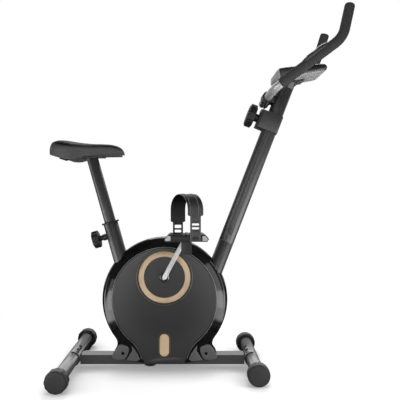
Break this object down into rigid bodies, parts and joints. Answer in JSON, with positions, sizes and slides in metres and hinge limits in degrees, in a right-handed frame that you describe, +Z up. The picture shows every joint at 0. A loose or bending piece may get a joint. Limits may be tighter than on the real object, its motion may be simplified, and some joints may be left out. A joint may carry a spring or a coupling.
{
  "type": "exercise bike",
  "caption": "Upright magnetic exercise bike with a round shell on a rail with two cross feet, a padded saddle on a sliding post, strapped pedals and a tilting handlebar.",
  "frame": {"origin": "on the floor, under the middle of the bike's length and width", "axes": "+X forward from the saddle to the handlebar, +Y to the rider's left, +Z up"},
  "size_m": [0.9416, 0.45, 1.13],
  "materials": {
    "painted_steel": "satin black powder coat",
    "hardware": "black zinc",
    "black_plastic": "fine grain",
    "grey_plastic": "fine grain",
    "shell_plastic": "satin panel with a gloss bevel",
    "rubber": "matt",
    "grip_foam": "matt foam",
    "gold_trim": "satin",
    "crank_steel": "bright zinc",
    "cast_iron": "machined",
    "saddle_cover": "soft grained cover over foam",
    "display_lens": "polished"
  },
  "bodies": {
    "frame": {"main_rail": "painted_steel", "rear_bracket": "painted_steel", "front_bracket": "painted_steel", "rear_stabiliser": "painted_steel", "front_stabiliser": "painted_steel", "rear_foot_right": "rubber", "rear_foot_left": "rubber", "front_foot_right": "rubber", "front_foot_left": "rubber", "centre_foot": "rubber", "seat_tube": "painted_steel", "seat_collar": "black_plastic", "mast_stub": "painted_steel", "handlebar_post": "painted_steel", "post_bolt": "hardware", "tension_housing": "black_plastic", "handlebar_clamp": "painted_steel", "clamp_bolt": "hardware", "console_bracket": "painted_steel", "console_base": "grey_plastic", "console_case": "black_plastic", "console_lens": "display_lens", "shell_right": "shell_plastic", "shell_left": "shell_plastic", "crank_cover_right": "shell_plastic", "crank_cover_left": "shell_plastic", "cover_ring_right": "gold_trim", "cover_ring_left": "gold_trim", "shell_inlay_right": "gold_trim", "shell_inlay_left": "gold_trim", "inner_frame": "painted_steel", "drive_belt": "rubber"},
    "crankset": {"crank_axle": "crank_steel", "drive_pulley": "black_plastic", "crank_right": "crank_steel", "crank_left": "crank_steel"},
    "right_pedal": {"pedal_right": "black_plastic", "strap_right": "rubber"},
    "left_pedal": {"pedal_left": "black_plastic", "strap_left": "rubber"},
    "flywheel": {"flywheel": "cast_iron"},
    "brake_arm": {"magnet_arm": "painted_steel"},
    "tension_knob": {"tension_knob": "black_plastic"},
    "seat": {"seat_post": "painted_steel", "saddle_clamp": "painted_steel", "saddle_pan": "black_plastic", "saddle_pad": "saddle_cover"},
    "seat_pin": {"seat_pin": "hardware"},
    "seat_knob": {"seat_knob": "black_plastic"},
    "handlebar": {"handlebar": "painted_steel", "grip_right": "grip_foam", "grip_left": "grip_foam", "pulse_sensor_right": "black_plastic", "pulse_sensor_left": "black_plastic"},
    "rear_cap_right": {"rear_cap_right": "black_plastic"},
    "rear_cap_left": {"rear_cap_left": "black_plastic"},
    "front_wheel_right": {"front_wheel_right": "black_plastic"},
    "front_wheel_left": {"front_wheel_left": "black_plastic"},
    "console_button": {"console_button": "black_plastic"}
  },
  "joints": [
    {"name": "crank_spin", "type": "hinge", "parent": "frame", "child": "crankset", "pos_m": [-0.09981, 0, 0.3], "axis": [0, 1, 0], "continuous": true},
    {"name": "pedal_right_spin", "type": "hinge", "parent": "crankset", "child": "right_pedal", "pos_m": [-0.03054, -0.137, 0.43305], "axis": [0, 1, 0], "continuous": true},
    {"name": "pedal_left_spin", "type": "hinge", "parent": "crankset", "child": "left_pedal", "pos_m": [-0.16907, 0.137, 0.16695], "axis": [0, 1, 0], "continuous": true},
    {"name": "flywheel_spin", "type": "hinge", "parent": "frame", "child": "flywheel", "pos_m": [-0.09981, 0, 0.15], "axis": [0, 1, 0], "continuous": true},
    {"name": "tension_turn", "type": "hinge", "parent": "frame", "child": "tension_knob", "pos_m": [0.19077, 0, 0.8117], "axis": [-0.9323, 0, 0.3616], "range_deg": [0, 240]},
    {"name": "brake_tilt", "type": "hinge", "parent": "frame", "child": "brake_arm", "pos_m": [0.02052, 0, 0.12986], "axis": [0, 1, 0], "range_deg": [0, 6]},
    {"name": "seat_height", "type": "slide", "parent": "frame", "child": "seat", "axis": [-0.2723, 0, 0.9622], "range_m": [-0.12, 0.1]},
    {"name": "seat_pin_pull", "type": "slide", "parent": "frame", "child": "seat_pin", "axis": [-0.9622, 0, -0.2723], "range_m": [0, 0.009], "stiffness_N_per_m": 900, "springref_m": -0.006},
    {"name": "seat_knob_turn", "type": "hinge", "parent": "seat_pin", "child": "seat_knob", "pos_m": [-0.31457, 0, 0.41682], "axis": [-0.9622, 0, -0.2723], "range_deg": [-180, 180]},
    {"name": "handlebar_tilt", "type": "hinge", "parent": "frame", "child": "handlebar", "pos_m": [0.23119, 0, 0.874], "axis": [0, 1, 0], "range_deg": [-20, 20]},
    {"name": "rear_cap_right_turn", "type": "hinge", "parent": "frame", "child": "rear_cap_right", "pos_m": [-0.39581, -0.205, 0.034], "axis": [0, 1, 0], "range_deg": [-180, 180]},
    {"name": "rear_cap_left_turn", "type": "hinge", "parent": "frame", "child": "rear_cap_left", "pos_m": [-0.39581, 0.205, 0.034], "axis": [0, 1, 0], "range_deg": [-180, 180]},
    {"name": "front_wheel_right_spin", "type": "hinge", "parent": "frame", "child": "front_wheel_right", "pos_m": [0.18019, -0.16, 0.0335], "axis": [0, 1, 0], "continuous": true},
    {"name": "front_wheel_left_spin", "type": "hinge", "parent": "frame", "child": "front_wheel_left", "pos_m": [0.18019, 0.16, 0.0335], "axis": [0, 1, 0], "continuous": true},
    {"name": "console_button_press", "type": "slide", "parent": "frame", "child": "console_button", "axis": [0.1392, 0, -0.9903], "range_m": [0, 0.0015], "stiffness_N_per_m": 400, "springref_m": -0.002}
  ],
  "couplings": [
    {"joint": "flywheel_spin", "follows": "crank_spin", "ratio": 5.7333},
    {"joint": "brake_tilt", "follows": "tension_turn", "ratio": 0.025}
  ]
}
